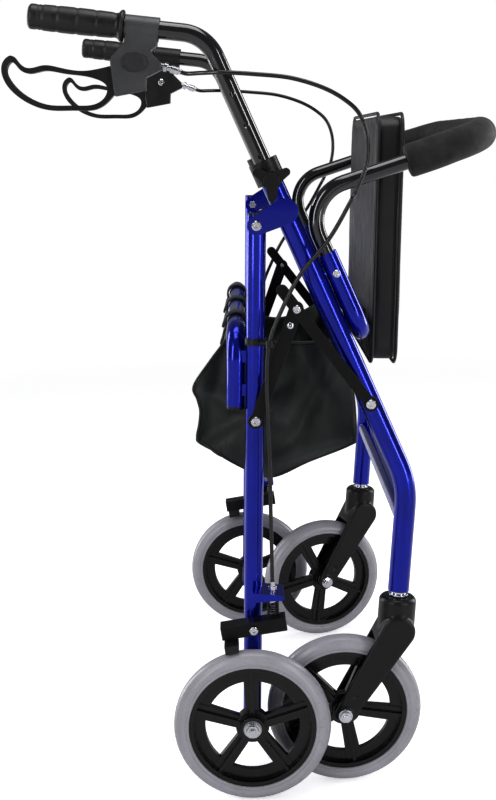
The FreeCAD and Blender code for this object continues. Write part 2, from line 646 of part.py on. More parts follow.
def backrest_tube():
    def bent(radius, above_foot):
        foot = BACKREST_FOOT + LEG_UP * above_foot
        points = [at(p, -SOCKET_Y) for p in (foot, BACKREST_LOW, BACKREST_FRONT)]
        points += [at(p, SOCKET_Y) for p in (BACKREST_FRONT, BACKREST_LOW, foot)]
        return bent_rod(points, [45, BACKREST_BEND, BACKREST_BEND, 45], radius)

    return bent(BACKREST_R, 4).cut(bent(BACKREST_R - TUBE_WALL, 3))


def foam():
    way = (BACKREST_FRONT - BACKREST_LOW).normalize()
    start = BACKREST_LOW + way * 126
    points = [at(start, -SOCKET_Y), at(BACKREST_FRONT, -SOCKET_Y), at(BACKREST_FRONT, SOCKET_Y),
              at(start, SOCKET_Y)]
    bends = [BACKREST_BEND, BACKREST_BEND]
    return bent_rod(points, bends, FOAM_R).cut(bent_rod(points, bends, BACKREST_R))


# ---- write every piece -----------------------------------------------------------------------------------
os.makedirs("parts", exist_ok=True)

save("front_frame", front_frame())
save("height_clamps", both(height_clamp(s) for s in (-1, 1)))
save("front_link_bolts", both(leg_bolt(LINK_FRONT, s * (SIDE_Y - LEG_R - 0.2), s * 268.7) for s in (-1, 1)))
save("socket_screws", both(socket_screw(s) for s in (-1, 1)))

save("rear_frame", rear_frame())
save("pivot_bolts", both(leg_bolt(PIVOT, s * (SIDE_Y - 15.2), s * (SIDE_Y + 15.2)) for s in (-1, 1)))
save("rear_frame_plugs", both(plug(-1) + plug(1)))
save("rear_axles", both(rear_axle(s) for s in (-1, 1)))
save("rear_link_bolts", both(leg_bolt(LINK_REAR, s * (SIDE_Y - REAR_R - 0.2), s * 264.9) for s in (-1, 1)))
save("brake_bolts", both(brake_bolt(s) for s in (-1, 1)))
save("cable_stops", both(cable_stop(s) for s in (-1, 1)))
save("cable_clips", both(cable_clip(s) for s in (-1, 1)))
save("bag", bag())
save("bag_straps", both(bag_strap(y) for y in (-150, 0, 150)))

save("link_apex_bolts", both(apex_bolt(s) for s in (-1, 1)))
save("seat_board", seat_block(6, SEAT_LENGTH - 6, 0, BOARD_THICK, SEAT_HALF_WIDTH - 5, 20))
save("seat_pad", seat_block(0, SEAT_LENGTH, BOARD_THICK, BOARD_THICK + PAD_THICK, SEAT_HALF_WIDTH, 24))
save("seat_hinges", both(seat_hinge(y) for y in (-110, 110)))
save("backrest_tube", backrest_tube())
save("backrest_foam", foam())

for name, s in SIDES.items():
    save(f"{name}_height_knob", height_knob(s))
    save(f"{name}_handle_tube", handle_tube(s))
    save(f"{name}_grip", grip(s))
    save(f"{name}_brake_housing", brake_housing(s))
    save(f"{name}_lever_hardware", lever_hardware(s))
    save(f"{name}_brake_lever", lever(s))
    save(f"{name}_brake_cable", cable(s))
    front_link, rear_link = link_pair(s)
    save(f"{name}_front_link", front_link)
    save(f"{name}_rear_link", rear_link)
    save(f"{name}_brake_arm", brake_arm(s))
    save(f"{name}_brake_shoe", brake_shoe(s))
    save(f"{name}_brake_spring", brake_spring(s))

    wheel_y = s * REAR_WHEEL_Y
    save(f"{name}_rear_tyre", tyre(REAR_AXLE, wheel_y))
    save(f"{name}_rear_rim", rim(REAR_AXLE, wheel_y, 18))
    save(f"{name}_rear_bearings", bearings(REAR_AXLE, wheel_y))

    caster_axle = V(TRAIL_X, 0, AXLE_Z)
    caster_y = s * CASTER_Y
    caster = {
        "fork": caster_fork(caster_y),
        "hardware": caster_hardware(caster_y),
        "tyre": tyre(caster_axle, caster_y),
        "rim": rim(caster_axle, caster_y, -8 if s < 0 else -26),
        "bearings": bearings(caster_axle, caster_y),
    }
    for piece, shape in caster.items():
        if name == "left":
            shape.rotate(at(LEG_BOTTOM, caster_y), STEER_UP, LEFT_SWIVEL)
        save(f"{name}_caster_{piece}", shape)
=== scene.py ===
import json
import math

import bpy
import bmesh
from mathutils import Matrix, Vector, noise


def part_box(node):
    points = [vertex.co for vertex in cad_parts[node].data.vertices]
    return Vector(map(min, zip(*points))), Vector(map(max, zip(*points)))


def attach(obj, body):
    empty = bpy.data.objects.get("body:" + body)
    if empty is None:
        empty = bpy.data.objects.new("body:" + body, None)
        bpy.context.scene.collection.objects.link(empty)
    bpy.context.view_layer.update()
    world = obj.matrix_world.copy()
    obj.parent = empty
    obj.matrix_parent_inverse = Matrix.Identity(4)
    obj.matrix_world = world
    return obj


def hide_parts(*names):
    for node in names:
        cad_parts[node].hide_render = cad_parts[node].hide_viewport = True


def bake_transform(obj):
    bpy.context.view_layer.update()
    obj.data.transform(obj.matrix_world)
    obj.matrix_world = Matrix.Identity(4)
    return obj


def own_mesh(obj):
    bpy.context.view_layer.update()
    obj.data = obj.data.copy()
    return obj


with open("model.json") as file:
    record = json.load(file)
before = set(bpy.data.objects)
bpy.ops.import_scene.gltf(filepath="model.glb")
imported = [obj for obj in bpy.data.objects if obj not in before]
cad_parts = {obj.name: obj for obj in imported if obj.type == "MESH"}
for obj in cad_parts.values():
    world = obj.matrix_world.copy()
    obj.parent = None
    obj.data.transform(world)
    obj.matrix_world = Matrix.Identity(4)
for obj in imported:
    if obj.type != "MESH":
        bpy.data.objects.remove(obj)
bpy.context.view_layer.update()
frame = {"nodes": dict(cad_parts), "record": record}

SIDES = {"right": -1, "left": 1}
SIDE_Y = 0.248
LAYOUT = Vector((0.0149, 0, 0))      # the points below are laid out from here, as the CAD is


# ---------------------------------------------------------------- materials
class Shader:
    """Small helper round one material's node tree."""

    def __init__(self, name):
        self.material = bpy.data.materials.new(name)
        self.material.use_nodes = True
        self.nodes = self.material.node_tree.nodes
        self.links = self.material.node_tree.links
        self.bsdf = self.nodes["Principled BSDF"]
        coords = self.nodes.new("ShaderNodeTexCoord")
        self.place = coords.outputs["Object"]
        self.uv = coords.outputs["UV"]

    def node(self, kind, inputs=None, **props):
        made = self.nodes.new(kind)
        for key, value in props.items():
            setattr(made, key, value)
        for key, value in (inputs or {}).items():
            socket = made.inputs[key]
            if isinstance(value, bpy.types.NodeSocket):
                self.links.new(value, socket)
            else:
                socket.default_value = value
        return made

    def noise(self, scale, detail=3.0, place=None):
        inputs = {"Vector": place or self.place, "Scale": scale, "Detail": detail}
        return self.node("ShaderNodeTexNoise", inputs).outputs["Fac"]

    def math(self, operation, a, b=0.0):
        return self.node("ShaderNodeMath", {0: a, 1: b}, operation=operation).outputs[0]

    def remap(self, value, low, high):
        inputs = {"Value": value, "From Min": 0.3, "From Max": 0.7, "To Min": low, "To Max": high}
        return self.node("ShaderNodeMapRange", inputs).outputs["Result"]

    def mix(self, factor, a, b):
        made = self.node("ShaderNodeMix", data_type="RGBA")
        for socket, value in ((made.inputs[0], factor), (made.inputs[6], a), (made.inputs[7], b)):
            if isinstance(value, bpy.types.NodeSocket):
                self.links.new(value, socket)
            else:
                socket.default_value = value
        return made.outputs[2]

    def edges(self, radius):
        """Rounded normal, and a mask that is 1 on worn edges."""
        soft = self.node("ShaderNodeBevel", {"Radius": radius}, samples=6).outputs["Normal"]
        hard = self.node("ShaderNodeNewGeometry").outputs["Normal"]
        dot = self.node("ShaderNodeVectorMath", {0: soft, 1: hard}, operation="DOT_PRODUCT").outputs["Value"]
        gap = self.math("SUBTRACT", 1.0, dot)
        scratch = self.math("MULTIPLY", gap, self.remap(self.noise(260, 6), 0.0, 3.0))
        return soft, self.node("ShaderNodeClamp", {"Value": scratch}).outputs["Result"]

    def finish(self, colour, roughness, normal=None, **settings):
        for key, value in {"Base Color": colour, "Roughness": roughness, **settings}.items():
            socket = self.bsdf.inputs[key.replace("_", " ")]
            if isinstance(value, bpy.types.NodeSocket):
                self.links.new(value, socket)
            else:
                socket.default_value = value
        if normal is not None:
            self.links.new(normal, self.bsdf.inputs["Normal"])
        return self.material

    def bump(self, height, strength, distance, normal=None):
        inputs = {"Height": height, "Strength": strength, "Distance": distance}
        if normal is not None:
            inputs["Normal"] = normal
        return self.node("ShaderNodeBump", inputs).outputs["Normal"]


def rgb(r, g, b):
    return (r, g, b, 1.0)


def hard_material(name, base, worn, rough, grain, grain_size=900, edge=0.0008, **settings):
    """Paint, moulded plastic or metal: two tones, fine surface bump, rounded and slightly worn edges."""
    s = Shader(name)
    soft, wear = s.edges(edge)
    shade = s.remap(s.noise(22, 4), 0.0, 1.0)
    tone = s.mix(shade, rgb(*base), rgb(*(c * 0.72 for c in base)))
    colour = s.mix(wear, tone, rgb(*worn))
    gloss = s.remap(s.noise(60, 5), rough * 0.8, rough * 1.25)
    normal = s.bump(s.noise(grain_size, 2), grain, 0.0004, soft)
    return s.finish(colour, gloss, normal, **settings)


def vinyl(name, base, folds):
    """Soft upholstery vinyl: pebbled grain with long shallow folds."""
    s = Shader(name)
    cells = s.node("ShaderNodeTexVoronoi", {"Vector": s.place, "Scale": 620.0}, feature="DISTANCE_TO_EDGE")
    pebble = s.math("POWER", cells.outputs["Distance"], 0.4)
    stretched = s.node("ShaderNodeMapping", {"Vector": s.place, "Scale": (9.0, 42.0, 5.0)}).outputs["Vector"]
    long_fold = s.noise(1.0, 3, stretched)
    grained = s.bump(pebble, 0.22, 0.0003)
    normal = s.bump(long_fold, folds, 0.012, grained)
    colour = s.mix(s.remap(s.noise(14, 4), 0, 1), rgb(*base), rgb(*(c * 1.6 for c in base)))
    gloss = s.remap(s.noise(35, 4), 0.34, 0.5)
    return s.finish(colour, gloss, normal, Sheen_Weight=0.05, Sheen_Roughness=0.4, Specular_IOR_Level=0.4)


def foam_material():
    s = Shader("backrest_foam_skin")
    cells = s.node("ShaderNodeTexVoronoi", {"Vector": s.place, "Scale": 900.0})
    fine = s.bump(cells.outputs["Distance"], 0.35, 0.0004)
    normal = s.bump(s.noise(26, 5), 0.25, 0.003, fine)
    colour = s.mix(s.remap(s.noise(55, 6), 0, 1), rgb(0.008, 0.008, 0.009), rgb(0.018, 0.018, 0.019))
    return s.finish(colour, s.remap(s.noise(90, 3), 0.6, 0.8), normal, Sheen_Weight=0.08, Sheen_Roughness=0.5,
                    Specular_IOR_Level=0.3)


def fabric(name, base, thread=1400.0):
    """Plain-weave nylon from two crossed waves, with creases and a dull sheen."""
    s = Shader(name)
    waves = []
    for direction in ("X", "Y"):
        inputs = {"Vector": s.uv, "Scale": thread / 6.28, "Distortion": 0.3, "Detail": 1.0}
        waves.append(s.node("ShaderNodeTexWave", inputs, bands_direction=direction).outputs["Fac"])
    weave = s.math("MULTIPLY", waves[0], waves[1])
    fine = s.bump(weave, 0.35, 0.0003)
    crease = s.node("ShaderNodeMapping", {"Vector": s.place, "Scale": (26.0, 9.0, 15.0)}).outputs["Vector"]
    normal = s.bump(s.noise(1.0, 5, crease), 0.45, 0.008, fine)
    dusty = s.remap(s.noise(18, 5), 0, 1)
    colour = s.mix(dusty, rgb(*base), rgb(*(c * 1.9 for c in base)))
    threads = s.mix(s.math("MULTIPLY", weave, 0.25), colour, rgb(0.030, 0.032, 0.031))
    gloss = s.remap(s.noise(40, 3), 0.45, 0.62)
    return s.finish(threads, gloss, normal, Sheen_Weight=0.12, Sheen_Roughness=0.35, Specular_IOR_Level=0.35)


def tyre_material():
    """Grey polyurethane, a little dusty on the tread."""
    s = Shader("tyre_grey")
    dust = s.remap(s.noise(30, 6), 0, 1)
    colour = s.mix(dust, rgb(0.36, 0.35, 0.39), rgb(0.30, 0.30, 0.32))
    speck = s.mix(s.remap(s.noise(420, 4), 0.0, 0.2), colour, rgb(0.22, 0.21, 0.23))
    normal = s.bump(s.noise(700, 3), 0.08, 0.0004)
    return s.finish(speck, s.remap(s.noise(80, 4), 0.26, 0.36), normal)


BLUE = hard_material("blue_paint", (0.0012, 0.0095, 0.34), (0.03, 0.06, 0.36), 0.2, 0.03, 500,
                     Coat_Weight=0.4, Coat_Roughness=0.05, Metallic=0.75)
BLACK_GLOSS = hard_material("black_gloss_paint", (0.006, 0.006, 0.008), (0.05, 0.05, 0.055), 0.14, 0.02, 500,
                            Coat_Weight=0.8, Coat_Roughness=0.08)
BLACK_SATIN = hard_material("black_satin_paint", (0.004, 0.004, 0.005), (0.08, 0.08, 0.09), 0.36, 0.05,
                            Specular_IOR_Level=0.25)
PLASTIC = hard_material("black_moulded_plastic", (0.007, 0.007, 0.008), (0.03, 0.03, 0.032), 0.36, 0.16, 1100,
                        Specular_IOR_Level=0.35)
WHEEL_PLASTIC = hard_material("wheel_plastic", (0.005, 0.005, 0.006), (0.04, 0.04, 0.042), 0.26, 0.06, 900,
                              Specular_IOR_Level=0.4)
HOUSING = hard_material("housing_plastic", (0.052, 0.053, 0.056), (0.13, 0.13, 0.14), 0.42, 0.25, 1500)
CAP_PLASTIC = hard_material("cap_plastic", (0.016, 0.016, 0.018), (0.06, 0.06, 0.06), 0.5, 0.9, 900)
# darker copy of the housing plastic, used only for the far brake housing: painted shade
SHADED_FAR_HOUSING = hard_material("far_housing_painted_shade", (0.010, 0.010, 0.011), (0.05, 0.05, 0.05), 0.38, 0.2,
                             1500, Specular_IOR_Level=0.35)
CHROME = hard_material("bright_steel", (0.62, 0.62, 0.66), (0.9, 0.9, 0.92), 0.16, 0.03, 700, Metallic=1.0)
STEEL = hard_material("brushed_steel", (0.42, 0.42, 0.44), (0.7, 0.7, 0.72), 0.32, 0.12, 1200, Metallic=1.0)
DARK_STEEL = hard_material("blackened_steel", (0.03, 0.03, 0.034), (0.22, 0.22, 0.24), 0.3, 0.1, Metallic=0.9)
RUBBER = hard_material("grip_rubber", (0.007, 0.007, 0.008), (0.02, 0.02, 0.02), 0.42, 0.3, 1300,
                       Specular_IOR_Level=0.45)
SHEATH = hard_material("cable_sheath", (0.010, 0.011, 0.010), (0.05, 0.055, 0.05), 0.2, 0.02, 600,
                       edge=0.0002)
SEAT_VINYL = vinyl("seat_vinyl", (0.011, 0.011, 0.012), 0.18)
# lighter copy of the seat vinyl for the underside: painted sheen, standing in for the grey the vinyl shows at
# a grazing angle
SHEEN_LIT_BACK_VINYL = vinyl("seat_underside_vinyl_painted_sheen", (0.022, 0.022, 0.024), 0.5)
FOAM = foam_material()
NYLON = fabric("bag_nylon", (0.0135, 0.0165, 0.0155))
WEBBING = fabric("bag_webbing", (0.019, 0.020, 0.020), 900.0)
THREAD = hard_material("stitch_thread", (0.05, 0.05, 0.052), (0.08, 0.08, 0.08), 0.6, 0.1, edge=0.0001)
TYRE = tyre_material()

CAD_LOOKS = {
    BLUE: ["front_frame", "rear_frame"],
    BLACK_GLOSS: ["backrest_tube", "right_handle_tube", "left_handle_tube"],
    CHROME: ["front_link_bolts", "socket_screws", "pivot_bolts", "rear_axles", "rear_link_bolts",
             "brake_bolts", "cable_stops", "link_apex_bolts"],
    PLASTIC: ["height_clamps", "rear_frame_plugs", "cable_clips"],
    BLACK_SATIN: ["seat_hinges"],
}
SIDE_LOOKS = {
    PLASTIC: ["height_knob", "brake_lever", "caster_fork"],
    HOUSING: ["brake_housing"],
    CHROME: ["lever_hardware", "caster_hardware"],
    STEEL: ["rear_bearings", "caster_bearings"],
    BLACK_SATIN: ["front_link", "rear_link", "brake_arm"],
    RUBBER: ["brake_shoe"],
    WHEEL_PLASTIC: ["rear_rim", "caster_rim"],
    TYRE: ["rear_tyre", "caster_tyre"],
}


def dress(node, material):
    data = frame["nodes"][node].data
    data.materials.clear()
    data.materials.append(material)


for look, names in CAD_LOOKS.items():
    for node_name in names:
        dress(node_name, look)
for look, names in SIDE_LOOKS.items():
    for node_name in names:
        for side_name in SIDES:
            dress(f"{side_name}_{node_name}", look)
# the far (left) brake housing gets the darker copy of the housing plastic: painted shade
dress("left_brake_housing", SHADED_FAR_HOUSING)


# ---------------------------------------------------------------- mesh helpers
def mesh_object(name, verts, faces, material, uvs=None, smooth=True):
    data = bpy.data.meshes.new(name)
    data.from_pydata([tuple(v) for v in verts], [], faces)
    if uvs is not None:
        layer = data.uv_layers.new(name="UVMap")
        for loop in data.loops:
            layer.data[loop.index].uv = uvs[loop.vertex_index]
    data.polygons.foreach_set("use_smooth", [smooth] * len(data.polygons))
    made = bpy.data.objects.new(name, data)
    bpy.context.scene.collection.objects.link(made)
    data.materials.append(material)
    bm = bmesh.new()
    bm.from_mesh(data)
    bmesh.ops.recalc_face_normals(bm, faces=bm.faces)
    bm.to_mesh(data)
    bm.free()
    return made


def tidy_ride(piece, body, slot_name, *nodes):
    if nodes:
        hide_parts(*nodes)
    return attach(piece, body)


def smooth_path(points, per_span):
    """Catmull-Rom curve through the points."""
    pts = [Vector(p) for p in points]
    pts = [pts[0] * 2 - pts[1]] + pts + [pts[-1] * 2 - pts[-2]]
    path = []
    for i in range(1, len(pts) - 2):
        for k in range(per_span):
            t = k / per_span
            a, b, c, d = pts[i - 1:i + 3]
            path.append(0.5 * ((2 * b) + (c - a) * t + (2 * a - 5 * b + 4 * c - d) * t * t
                               + (3 * b - a - 3 * c + d) * t ** 3))
    path.append(pts[-2])
    return path


def bent_path(points, bends, step):
    """Straight runs with a round arc of the given radius at each inner corner."""
    pts = [Vector(p) for p in points]
    path = [pts[0]]
    for before, corner, after, bend in zip(pts, pts[1:], pts[2:], bends):
        back = (before - corner).normalized()
        ahead = (after - corner).normalized()
        half = back.angle(ahead) / 2
        centre = corner + (back + ahead).normalized() * (bend / math.sin(half))
        first = corner + back * (bend / math.tan(half)) - centre
        turn = math.pi - 2 * half
        axis = first.cross(corner + ahead * (bend / math.tan(half)) - centre)
        count = max(3, int(turn * bend / step))
        path += [centre + Matrix.Rotation(turn * k / count, 3, axis) @ first for k in range(count + 1)]
    path.append(pts[-1])
    filled = [path[0]]
    for p in path[1:]:
        gap = (p - filled[-1]).length
        count = max(1, int(gap / step))
        start = filled[-1]
        filled += [start.lerp(p, k / count) for k in range(1, count + 1)]
    return filled


def frames_along(path, closed=False):
    """Parallel-transported axes at every point of a path."""
    count = len(path)
    tangents = []
    for i in range(count):
        ahead = path[(i + 1) % count] if closed or i < count - 1 else path[i]
        behind = path[i - 1] if closed or i > 0 else path[i]
        tangents.append((ahead - behind).normalized())
    side = tangents[0].orthogonal().normalized()
    found = []
    for t in tangents:
        side = (side - t * side.dot(t)).normalized()
        found.append((t, side, t.cross(side)))
    return found


def sweep(name, path, radius, material, around=16, closed=False):
    """Tube of one radius along a path."""
    frames = frames_along(path, closed)
    verts, faces, uvs = [], [], []
    run = 0.0
    for i, (p, (_, u, v)) in enumerate(zip(path, frames)):
        run += (p - path[i - 1]).length if i else 0.0
        for k in range(around):
            angle = 2 * math.pi * k / around
            verts.append(p + u * (radius * math.cos(angle)) + v * (radius * math.sin(angle)))
            uvs.append((run, angle * radius))
    spans = len(path) if closed else len(path) - 1
    for i in range(spans):
        a, b = i * around, ((i + 1) % len(path)) * around
        for k in range(around):
            n = (k + 1) % around
            faces.append((a + k, a + n, b + n, b + k))
    if not closed:
        faces.append(tuple(range(around))[::-1])
        faces.append(tuple((len(path) - 1) * around + k for k in range(around)))
    return mesh_object(name, verts, faces, material, uvs)


def lathe(name, start, way, profile, material, around=48):
    """Closed solid of revolution: profile is (distance along, radius) pairs, in order round the section."""
    way = Vector(way).normalized()
    u = way.orthogonal().normalized()
    v = way.cross(u)
    verts, faces = [], []
    for along, r in profile:
        for k in range(around):
            angle = 2 * math.pi * k / around
            verts.append(Vector(start) + way * along + (u * math.cos(angle) + v * math.sin(angle)) * r)
    for i in range(len(profile)):
        a, b = i * around, ((i + 1) % len(profile)) * around
        for k in range(around):
            n = (k + 1) % around
            faces.append((a + k, a + n, b + n, b + k))
    return mesh_object(name, verts, faces, material)


def apply_modifiers(piece):
    bpy.context.view_layer.update()
    graph = bpy.context.evaluated_depsgraph_get()
    data = bpy.data.meshes.new_from_object(piece.evaluated_get(graph))
    piece.modifiers.clear()
    old = piece.data
    piece.data = data
    bpy.data.meshes.remove(old)


def mid(node):
    low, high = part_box(node)
    return (low + high) / 2


def join(name, parts):
    """One object from several; the first part's name is replaced."""
    bpy.ops.object.select_all(action="DESELECT")
    for p in parts:
        p.select_set(True)
    bpy.context.view_layer.objects.active = parts[0]
    bpy.ops.object.join()
    parts[0].name = name
    parts[0].data.name = name
    return parts[0]


# ---------------------------------------------------------------- studio
def build_studio():
    world = bpy.data.worlds.new("studio")
    bpy.context.scene.world = world
    world.use_nodes = True
    nodes, links = world.node_tree.nodes, world.node_tree.links
    seen = nodes["Background"]
    seen.inputs["Color"].default_value = rgb(1.0, 1.0, 1.0)
    seen.inputs["Strength"].default_value = 1.0
    felt = nodes.new("ShaderNodeBackground")
    felt.inputs["Color"].default_value = rgb(0.94, 0.95, 1.0)
    felt.inputs["Strength"].default_value = 0.24
    path = nodes.new("ShaderNodeLightPath")
    mix = nodes.new("ShaderNodeMixShader")
    links.new(path.outputs["Is Camera Ray"], mix.inputs[0])
    links.new(felt.outputs[0], mix.inputs[1])
    links.new(seen.outputs[0], mix.inputs[2])
    links.new(mix.outputs[0], nodes["World Output"].inputs["Surface"])

    s = Shader("pale_floor")
    distance = s.node("ShaderNodeVectorMath", {0: s.place}, operation="LENGTH").outputs["Value"]
    fade = s.node("ShaderNodeMapRange", {"Value": distance, "From Min": 0.8, "From Max": 3.0})
    tint = s.mix(s.remap(s.noise(3, 3), 0, 1), rgb(0.86, 0.86, 0.865), rgb(0.83, 0.83, 0.84))
    s.finish(tint, 0.75)
    glow = s.node("ShaderNodeEmission", {"Color": rgb(1.0, 1.0, 1.0), "Strength": 1.0})
    lift = s.node("ShaderNodeEmission", {"Color": rgb(0.95, 0.95, 0.96), "Strength": 0.55})
    lit = s.node("ShaderNodeAddShader", {0: s.bsdf.outputs[0], 1: lift.outputs[0]})
    seen_by_camera = s.node("ShaderNodeLightPath").outputs["Is Camera Ray"]
    near = s.node("ShaderNodeMixShader", {0: seen_by_camera, 1: s.bsdf.outputs[0], 2: lit.outputs[0]})
    blend_in = s.node("ShaderNodeMixShader", {0: fade.outputs["Result"], 1: near.outputs[0],
                                              2: glow.outputs[0]})
    s.links.new(blend_in.outputs[0], s.nodes["Material Output"].inputs["Surface"])
    span = 14.0
    corners = [(-span, -span, -0.0006), (span, -span, -0.0006), (span, span, -0.0006), (-span, span, -0.0006)]
    floor = mesh_object("studio_floor", corners, [(0, 1, 2, 3)], s.material)

    def soft_box(name, place, size, watts):
        light = bpy.data.lights.new(name, "AREA")
        light.shape = "RECTANGLE"
        light.size, light.size_y = size
        light.energy = watts
        made = bpy.data.objects.new(name, light)
        made.location = place
        made.rotation_euler = (Vector((0, 0, 0.5)) - Vector(place)).to_track_quat("-Z", "Y").to_euler()
        bpy.context.scene.collection.objects.link(made)

    soft_box("key_left", (-1.5, -1.9, 1.3), (0.4, 1.8), 24)
    soft_box("strip_right", (1.6, -1.7, 1.0), (0.2, 1.9), 20)
    soft_box("rim_left", (-2.2, 1.0, 1.0), (0.6, 1.9), 34)
    soft_box("rim_right", (2.2, 1.1, 1.0), (0.6, 1.9), 34)
    soft_box("top", (0.1, -0.3, 2.5), (1.4, 1.4), 26)


def photo_camera():
    """Camera at the viewing angle of the photograph: slightly above the handles, looking along +Y."""
    pitch, roll = math.radians(11.46), math.radians(-1.53)
    forward = Vector((0, math.cos(pitch), -math.sin(pitch)))
    right = Vector((1, 0, 0))
    up = right.cross(forward)
    across = right * math.cos(roll) + up * math.sin(roll)
    upright = up * math.cos(roll) - right * math.sin(roll)
    data = bpy.data.cameras.new("camera")
    data.sensor_width = 36.0
    data.lens = 57.43
    camera = bpy.data.objects.new("camera", data)
    turn = Matrix((across, upright, -forward)).transposed().to_4x4()
    camera.matrix_world = Matrix.Translation(LAYOUT + Vector((-0.0354, -1.7238, 0.7852))) @ turn
    bpy.context.scene.collection.objects.link(camera)
    bpy.context.scene.camera = camera


build_studio()
photo_camera()
bpy.context.scene.view_settings.view_transform = "Standard"
bpy.context.scene.view_settings.gamma = 0.8


# ---------------------------------------------------------------- handles
GRIP_FRONT = LAYOUT + Vector((-0.162, 0, 0.9141))
GRIP_END = LAYOUT + Vector((-0.264, 0, 0.9274))
GRIP_WAY = (GRIP_END - GRIP_FRONT).normalized()
GRIP_LENGTH = 0.1068
GRIP_BORE_DEPTH = 0.1021
GRIP_BORE_R = 0.0101


def grip_profile():
    """Moulded grip: flange, soft taper, finger bands, rounded closed end."""
    outer = [(0.0, 0.0135), (0.0004, 0.0168), (0.0022, 0.0177), (0.0044, 0.0168), (0.006, 0.0148)]
    count = 60
    for k in range(count + 1):
        share = k / count
        along = 0.007 + (GRIP_LENGTH - 0.010) * share
        swell = 0.0138 + 0.0008 * math.sin(math.pi * share)
        band = 0.0007 * max(0.0, math.sin(2 * math.pi * (share * 4.5 + 0.1))) ** 6
        groove = 0.0006 if 0.86 < share < 0.885 else 0.0
        outer.append((along, swell - band - groove))
    outer += [(GRIP_LENGTH - 0.0014, 0.0128), (GRIP_LENGTH, 0.0105), (GRIP_LENGTH + 0.0002, 0.0)]
    return outer


for side_name, side in SIDES.items():
    lift = Vector((0, side * SIDE_Y, 0))
    inner = [(GRIP_BORE_DEPTH, 0.0), (GRIP_BORE_DEPTH, GRIP_BORE_R), (0.0, GRIP_BORE_R)]
    rubber = lathe(f"{side_name}_soft_grip", GRIP_FRONT + lift, GRIP_WAY, grip_profile() + inner, RUBBER)
    tidy_ride(rubber, f"{side_name}_handle", "grip_rubber", f"{side_name}_grip")


# ---------------------------------------------------------------- cables and springs
# Route of each cable in millimetres, y outwards, from the lever's adjuster to the brake.
CABLE = [(-103, 248, 863.9), (-94, 248, 861.2), (-78, 254, 861.2), (-54, 262.5, 860.8), (-20, 266, 858),
         (20, 268, 853), (55, 270, 842), (80, 272, 828), (97, 274, 811), (105, 275, 785), (103, 277, 754),
         (90, 280, 724), (62, 281, 677), (28, 279, 636), (8, 276, 600), (-8, 273, 560), (-13, 271, 512),
         (-12, 270, 428), (-12, 270, 350), (-12, 270, 284), (-12, 270, 269)]
SPLIT = 11          # the upper cable ends here, beside the front leg
SHEATH_R = 0.0024
SPRING_TURNS = 5.5
SPRING_R = 0.0065
SPRING_WIRE_R = 0.0011

for side_name, side in SIDES.items():
    route = [LAYOUT + Vector((x, side * y, z)) / 1000 for x, y, z in CABLE]
    upper = sweep(f"{side_name}_upper_cable", smooth_path(route[:SPLIT + 1], 8), SHEATH_R, SHEATH, 14)
    lower = sweep(f"{side_name}_lower_cable", smooth_path(route[SPLIT:], 8), SHEATH_R, SHEATH, 14)
    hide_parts(f"{side_name}_brake_cable")
    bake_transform(upper)
    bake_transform(lower)

    middle = mid(f"{side_name}_brake_spring")
    low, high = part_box(f"{side_name}_brake_spring")
    height = high.z - low.z - 0.0024
    count = int(SPRING_TURNS * 20)
    coil = []
    for k in range(count + 1):
        angle = 2 * math.pi * SPRING_TURNS * k / count
        coil.append(middle + Vector((SPRING_R * math.cos(angle), SPRING_R * math.sin(angle),
                                     height * (k / count - 0.5))))
    spring = sweep(f"{side_name}_return_spring", coil, SPRING_WIRE_R, DARK_STEEL, 10)
    tidy_ride(spring, "rear_frame", "spring_steel", f"{side_name}_brake_spring")
    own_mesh(spring)


# ---------------------------------------------------------------- housing caps, link rivets, forks
LEVER_PIVOT = LAYOUT + Vector((-0.152, 0, 0.8745))
LINK_RIVET = LAYOUT + Vector((0.0157, 0, 0.5757))
CAP_FACE = 0.0117           # the housing's oval stands this far out from the handle's centre plane
LINK_FACE = 0.2646          # outer face of the rear link bars
FORK_VOXEL = 0.0013


def oval_cap(name, centre, side):
    """Shallow domed oval with a rounded rim; its base is sunk into the housing."""
    rings = [(1.0, 0.0), (1.0, 0.0009), (0.97, 0.0015), (0.90, 0.0016), (0.86, 0.0012), (0.6, 0.0017),
             (0.3, 0.0019)]
    around = 48
    verts, faces = [], []
    for scale, out in rings:
        for k in range(around):
            angle = 2 * math.pi * k / around
            oval = Vector((0.0152 * math.cos(angle), 0, 0.0108 * math.sin(angle))) * scale
            verts.append(centre + oval + Vector((0, side * out, 0)))
    for i in range(len(rings) - 1):
        for k in range(around):
            n = (k + 1) % around
            faces.append((i * around + k, i * around + n, (i + 1) * around + n, (i + 1) * around + k))
    faces.append(tuple(range(around))[::-1])
    last = (len(rings) - 1) * around
    faces.append(tuple(last + k for k in range(around)))
    return mesh_object(name, verts, faces, CAP_PLASTIC)


def moulded_copy(name, node, material, voxel, rounds):
    """Copy of a CAD node with its edges and inner corners rounded, as moulded plastic has them."""
    copy = bpy.data.objects.new(name, frame["nodes"][node].data.copy())
    bpy.context.scene.collection.objects.link(copy)
    copy.data.materials.clear()
    copy.data.materials.append(material)
    remesh = copy.modifiers.new("remesh", "REMESH")
    remesh.mode = "VOXEL"
    remesh.voxel_size = voxel
    soften = copy.modifiers.new("soften", "SMOOTH")
    soften.iterations = rounds
    apply_modifiers(copy)
    copy.data.polygons.foreach_set("use_smooth", [True] * len(copy.data.polygons))
    return copy


